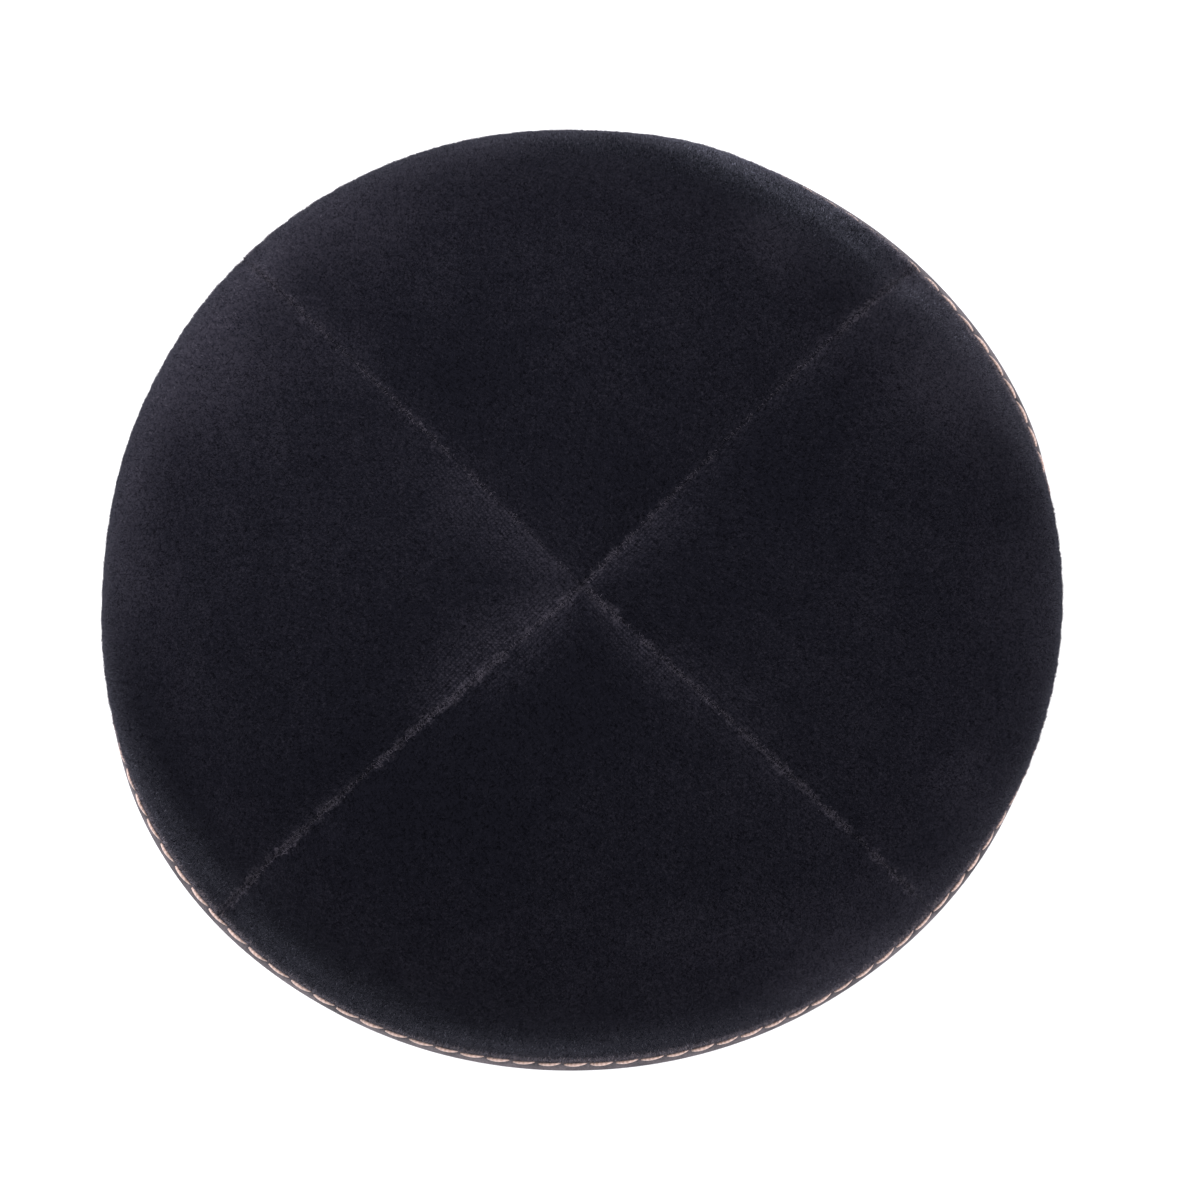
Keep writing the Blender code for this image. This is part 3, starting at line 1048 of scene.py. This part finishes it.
def scatter(mesh, count, rng, weigh):
    """Places and normals of count points spread over the faces that weigh gives a weight."""
    mesh.calc_loop_triangles()
    corners = values_of(mesh.loop_triangles, "vertices", int)
    points = points_of(mesh)
    normals = normals_of(mesh)
    a, b, c = (points[corners[:, i]] for i in range(3))
    areas = np.linalg.norm(np.cross(b - a, c - a), axis=1) / 2
    centres = (a + b + c) / 3
    shares = areas * weigh(centres, normals[corners[:, 0]])
    picked = rng.choice(len(shares), count, p=shares / shares.sum())
    u, v = rng.random(count), rng.random(count)
    flip = u + v > 1
    u[flip], v[flip] = 1 - u[flip], 1 - v[flip]
    mix = np.column_stack((1 - u - v, u, v))
    place = (points[corners[picked]] * mix[:, :, None]).sum(1)
    normal = (normals[corners[picked]] * mix[:, :, None]).sum(1)
    return place, unit(normal)


def add_fibres(name, place, direction, normal, length, width, shade, materials):
    """Adds a joined mesh of flat fibres, each one tapered four-sided face lit like the cloth below it."""
    half = unit(np.cross(direction, normal)) * width[:, None] / 2
    tip = place + direction * length[:, None]
    corners = np.stack((place - half, place + half, tip + half * TIP_WIDTH, tip - half * TIP_WIDTH), axis=1)
    mesh = bpy.data.meshes.new(name)
    count = len(place)
    mesh.vertices.add(count * 4)
    mesh.vertices.foreach_set("co", corners.ravel())
    mesh.loops.add(count * 4)
    mesh.loops.foreach_set("vertex_index", np.arange(count * 4))
    mesh.polygons.add(count)
    mesh.polygons.foreach_set("loop_start", np.arange(count) * 4)
    mesh.update(calc_edges=True)
    link_piece(name, mesh, materials)
    mesh.polygons.foreach_set("material_index", shade)
    mesh.normals_split_custom_set_from_vertices(np.repeat(normal, 4, axis=0))


def down_the_nap(place, panel):
    """The nap is brushed from the crown to the rim."""
    return from_axis(place)


def over_seam(place, panel):
    """Loose fibres lean over the nearer seam."""
    first, last = seams_of(panel)
    off_first, off_last = seam_offsets(place, panel)
    to_first = (math.sin(first), -math.cos(first), 0)
    to_last = (-math.sin(last), math.cos(last), 0)
    return np.where((off_first < off_last)[:, None], to_first, to_last)


def tufts_of(place, panel, pitch):
    """The nearest tuft of each place, and how far off it is. The tufts stand in rows both ways."""
    u, v = flat_layout(place, panel)
    row, column = np.round(u / pitch), np.round(v / pitch)
    turn = np.arctan2(u, v)
    du, dv = row * pitch - u, column * pitch - v
    ahead = du * np.sin(turn) + dv * np.cos(turn)
    aside = du * np.cos(turn) - dv * np.sin(turn)
    return row, column, ahead, aside


def tuft_tone(row, column):
    """A number from 0 to 1 that all the fibres of one tuft share."""
    return (np.sin(row * 12.9898 + column * 78.233) * 43758.5453) % 1


def on_cloth(direction, normal):
    """A direction turned into the plane of the cloth."""
    return unit(direction - normal * (direction * normal).sum(1)[:, None])


def grow(kind, panel, count, weigh, heading, shades, materials):
    """Grows one kind of fibre on a dressed panel."""
    pile = bpy.context.scene.skullcap_pile
    lean, spread, length, width, seed = FIBRE_KINDS[kind]
    rng = np.random.default_rng(seed + PANELS.index(panel))
    mesh = bpy.data.objects["velvet_" + panel].data
    place, normal = scatter(mesh, count, rng, weigh)
    down = on_cloth(down_the_nap(place, panel), normal)
    pitch = bpy.context.scene.skullcap_cloth.rib_pitch * MM
    row, column, onward, aside = tufts_of(place, panel, pitch)
    share = TUFT_DRAW + TUFT_DRAW_OPEN * np.minimum(opened_pile(place), 1)
    place += down * (onward * share)[:, None] + np.cross(normal, down) * (aside * share)[:, None]
    ahead = on_cloth(heading(place, panel), normal)
    across = np.cross(normal, ahead)
    swing = rng.normal(0, spread, count)
    tilt = np.clip(rng.normal(lean, LEAN_VARIES, count), 0, 1.5)
    lay = ahead * np.cos(swing)[:, None] + across * np.sin(swing)[:, None]
    direction = normal * np.cos(tilt)[:, None] + lay * np.sin(tilt)[:, None]
    lit = unit(normal + np.clip(rng.normal(0, SHADING_VARIES, (count, 3)), -0.3, 0.3))
    lengths = pile.fibre_length * length * rng.uniform(*LENGTH_VARIES, count)
    widths = pile.fibre_width * width * rng.uniform(*WIDTH_VARIES, count)
    shade = shades(place, tuft_tone(row, column), rng)
    roots = place - normal * ROOT_DEPTH
    add_fibres(kind + "_" + panel, roots, direction, lit, lengths, widths, shade, materials)


def faces_out(centres, normals):
    return (facing_out(centres, normals) > 0.5) * (centres[:, 2] > PILE_FROM)


def above_stitches(centres, normals):
    band = np.exp(-(((centres[:, 2] - RIM_FUZZ_HEIGHT) / RIM_FUZZ_BAND) ** 2))
    wear, _, _ = rim_finish(centres)
    return band * wear * (facing_out(centres, normals) > 0.3)


# A shade is the number of one of the five materials of the pile.
def pile_shades(place, tone, rng):
    # The lift from the brushed and pressed tones brings painted sheen, painted shade and a painted highlight
    # into the choice of shade.
    lift = opened_pile(place) * 1.3 + nap_and_painted_sheen(place) * 0.5 + pressed_pile_and_highlight(place) * 3
    level = rng.random(len(place)) * 1.2 + tone * 1.3 + lift
    return np.clip(level, 0, 4).astype(int)


def fuzz_shades(place, tone, rng):
    return rng.choice((1, 2, 3), len(place), p=(0.3, 0.3, 0.4))


def rim_shades(place, tone, rng):
    # The rim fuzz takes the paler shades, partly a painted highlight along the outline.
    return rng.choice((2, 3, 4), len(place), p=(0.25, 0.4, 0.35))


class SKULLCAP_OT_pile(bpy.types.Operator):
    """Grow the pile over the panels and the fuzz along their seams"""

    bl_idname = "skullcap.pile"
    bl_label = "Pile and Fuzz"

    def execute(self, context):
        pile = context.scene.skullcap_pile
        cloth = context.scene.skullcap_cloth
        base = np.array(cloth.pile_colour)
        # The deep, middle and bright copies of the pile colour give its grain at random; through the brushed
        # and pressed tones they also carry painted sheen and painted shade.
        materials = (
            fibre_material("cut cotton pile, deep", base * 0.5),
            fibre_material("cut cotton pile, middle", base * 1.0),
            fibre_material("cut cotton pile, bright", base * 1.9),
            fibre_material("crushed cotton pile", cloth.crushed_colour),
            fibre_material("pressed cotton pile", cloth.edging_and_sheen_colour),
        )
        for panel in PANELS:

            def near_seam(centres, normals):
                off = np.minimum(*seam_offsets(centres, panel))
                line = np.exp(-((off / SEAM_FUZZ_WIDTH) ** 2)) * seam_wear(centres, panel)
                return faces_out(centres, normals) * line

            for kind, count, *ways in (
                ("pile", pile.fibres_per_panel, faces_out, down_the_nap, pile_shades),
                ("fuzz", pile.fuzz_per_panel, near_seam, over_seam, fuzz_shades),
                ("rim_fuzz", pile.fuzz_per_panel, above_stitches, down_the_nap, rim_shades),
            ):
                if count:
                    grow(kind, panel, count, *ways, materials)
        return {"FINISHED"}


class SKULLCAP_OT_studio(bpy.types.Operator):
    """Set the white table, the soft light and the camera"""

    bl_idname = "skullcap.studio"
    bl_label = "Studio"

    def execute(self, context):
        studio = context.scene.skullcap_studio
        self.add_floor(studio)
        self.add_light(context.scene, studio)
        self.add_camera(context.scene, studio)
        return {"FINISHED"}

    def add_floor(self, studio):
        bm = bmesh.new()
        bmesh.ops.create_grid(bm, x_segments=1, y_segments=1, size=3)
        bmesh.ops.translate(bm, verts=bm.verts[:], vec=(0, 0, -0.05 * MM))
        mesh = finished_mesh(bm, "white_table")
        material, tree = new_material("white laminate")
        surface = add_node(tree, "BsdfPrincipled", {
            "Base Color": colour4(studio.floor_colour), "Roughness": 0.8, "Specular IOR Level": 0.2,
        })
        mesh.materials.append(showing(material, surface))
        floor = add_object("white_table", mesh)

    def add_light(self, scene, studio):
        world = bpy.data.worlds.new("soft white studio")
        world.use_nodes = True
        background = world.node_tree.nodes["Background"]
        background.inputs["Color"].default_value = (1, 1, 1, 1)
        background.inputs["Strength"].default_value = studio.fill_light
        scene.world = world
        self.add_soft_box("key_box", studio.key_light, place=(-1.05, 0.80, 0.80))
        self.add_soft_box("side_box", studio.side_light, place=(1.05, -0.35, 1.0))
        scene.view_settings.view_transform = "Standard"

    def add_soft_box(self, name, power, place):
        lamp = bpy.data.lights.new(name, "AREA")
        lamp.shape = "DISK"
        lamp.size = 0.9
        lamp.energy = power
        lamp.color = (0.95, 0.95, 1.0)
        box = add_object(name, lamp)
        box.location = place
        box.rotation_euler = (-box.location).to_track_quat("-Z", "Y").to_euler()

    def add_camera(self, scene, studio):
        """The camera looks almost straight down, and leans a little towards the front."""
        aside = math.sin(CAMERA_LEAN)
        back = Vector(
            (aside * math.cos(CAMERA_BEARING), aside * math.sin(CAMERA_BEARING), math.cos(CAMERA_LEAN))
        )
        aim = FOOT + Vector((*CAMERA_AIM, 0))
        right = Vector((0, 1, 0)).cross(back).normalized()
        up = back.cross(right)
        lens = bpy.data.cameras.new("camera")
        lens.sensor_width = 36
        lens.lens = lens.sensor_width * PIXELS_PER_METRE * studio.camera_distance / PHOTO_WIDTH
        lens.clip_start = 0.01
        camera = add_object("camera", lens)
        camera.matrix_world = Matrix.Translation(aim + back * studio.camera_distance) @ Matrix(
            (right, up, back)
        ).transposed().to_4x4()
        scene.camera = camera


class SKULLCAP_PT_sidebar(bpy.types.Panel):
    """Lists the steps that build the skullcap"""

    bl_label = "Skullcap"
    bl_idname = "SKULLCAP_PT_sidebar"
    bl_space_type = "VIEW_3D"
    bl_region_type = "UI"
    bl_category = "Skullcap"

    def draw(self, context):
        for name in STEPS:
            self.layout.operator("skullcap." + name)


# The operators in the order in which they build the cap.
STEPS = ("studio", "panels", "edging", "topstitch", "pile")

SETTINGS = {
    "skullcap_cloth": ClothSettings,
    "skullcap_pile": PileSettings,
    "skullcap_stitch": StitchSettings,
    "skullcap_studio": StudioSettings,
}

CLASSES = (
    *SETTINGS.values(),
    SKULLCAP_OT_studio,
    SKULLCAP_OT_panels,
    SKULLCAP_OT_edging,
    SKULLCAP_OT_topstitch,
    SKULLCAP_OT_pile,
    SKULLCAP_PT_sidebar,
)


def register():
    for item in CLASSES:
        bpy.utils.register_class(item)
    for name, group in SETTINGS.items():
        setattr(bpy.types.Scene, name, PointerProperty(type=group))


def unregister():
    for name in SETTINGS:
        delattr(bpy.types.Scene, name)
    for item in reversed(CLASSES):
        bpy.utils.unregister_class(item)


def main():
    register()
    for name in STEPS:
        getattr(bpy.ops.skullcap, name)()


if __name__ == "__main__":
    main()
